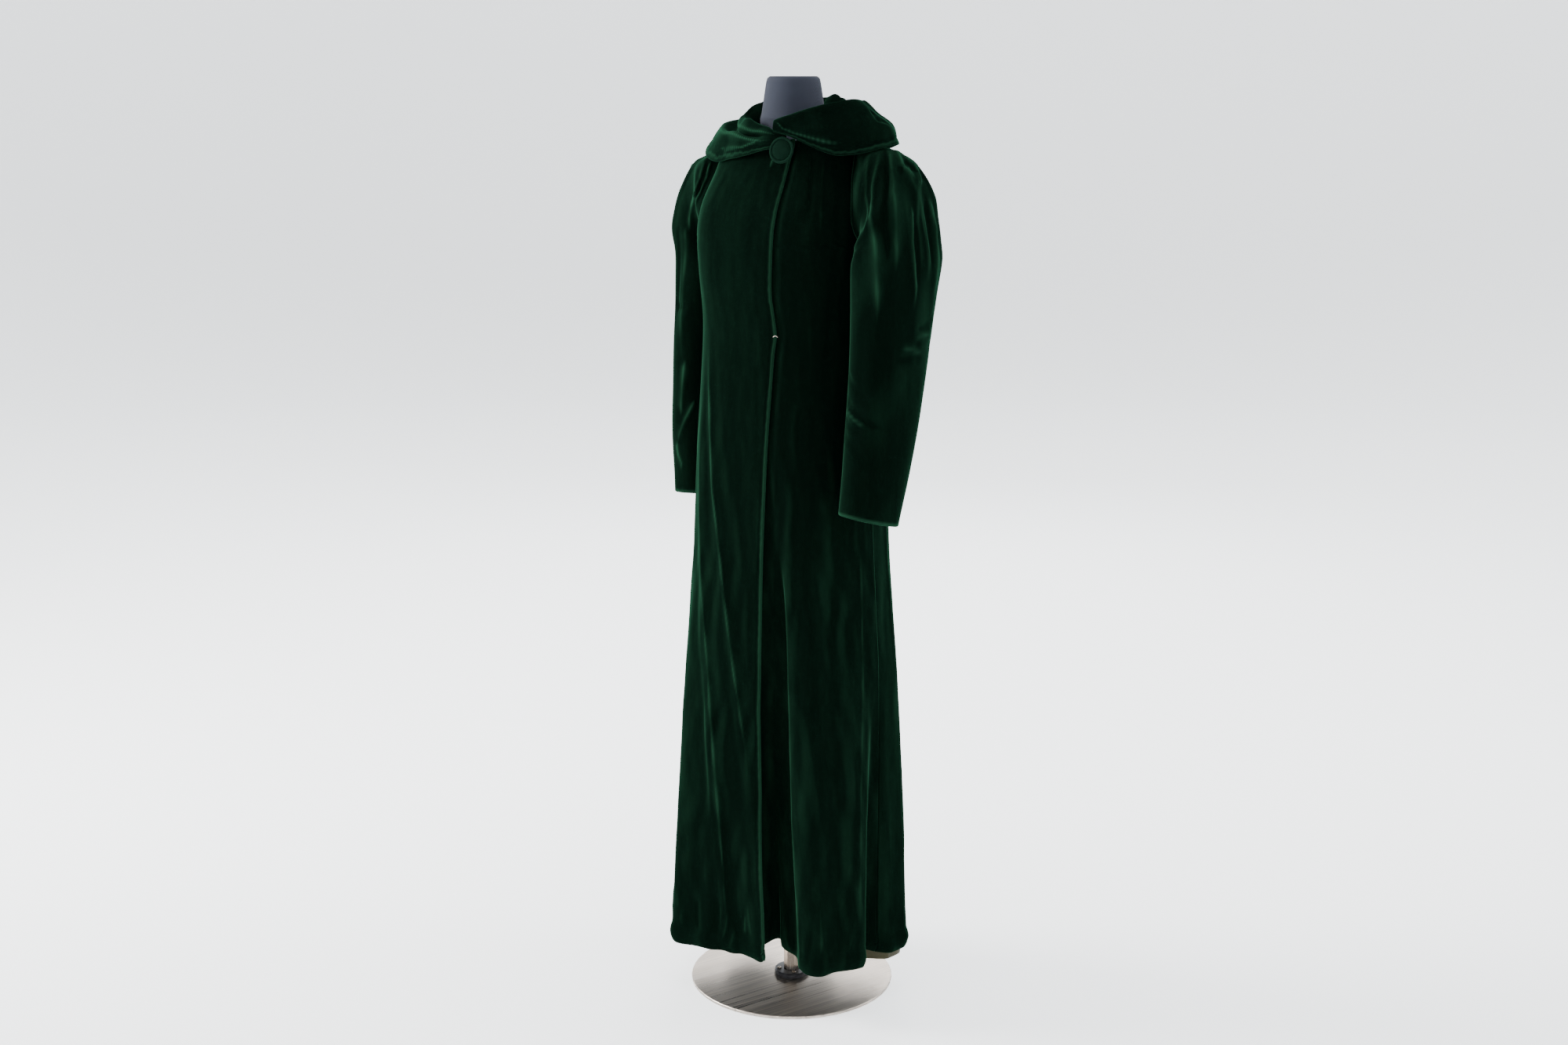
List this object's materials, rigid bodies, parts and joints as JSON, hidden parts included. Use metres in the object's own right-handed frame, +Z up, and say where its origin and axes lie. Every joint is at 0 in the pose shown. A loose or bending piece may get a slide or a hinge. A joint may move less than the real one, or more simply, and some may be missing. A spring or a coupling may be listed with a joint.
{
  "type": "velvet coat on a limbless dress form and stand",
  "caption": "Full-length dark green velvet coat with a draped collar and gathered sleeve heads, on a limbless dress form with a steel pole and round base.",
  "frame": {"origin": "centre of the base plate's underside", "axes": "+Z up along the pole; the coat faces -Y; the wearer's left side is +X"},
  "size_m": [0.5395, 0.359, 1.58],
  "materials": {
    "velvet": "dark bottle-green silk velvet with a soft pile",
    "lining": "olive lining silk",
    "form_cloth": "slate blue-grey cover cloth",
    "steel": "brushed",
    "dark_metal": "dark satin"
  },
  "bodies": {
    "root": {"front_right": "velvet", "front_left": "velvet", "back": "velvet", "sleeve_left": "velvet", "sleeve_right": "velvet", "collar_left": "velvet", "collar_right": "velvet", "button": "velvet", "button_rim": "velvet", "waist_hook": "steel", "hem_lining": "lining", "form_torso": "form_cloth", "stand_pole": "steel", "stand_flange": "dark_metal", "screw_1": "steel", "screw_2": "steel", "screw_3": "steel", "screw_4": "steel", "stand_base": "steel"}
  },
  "joints": []
}
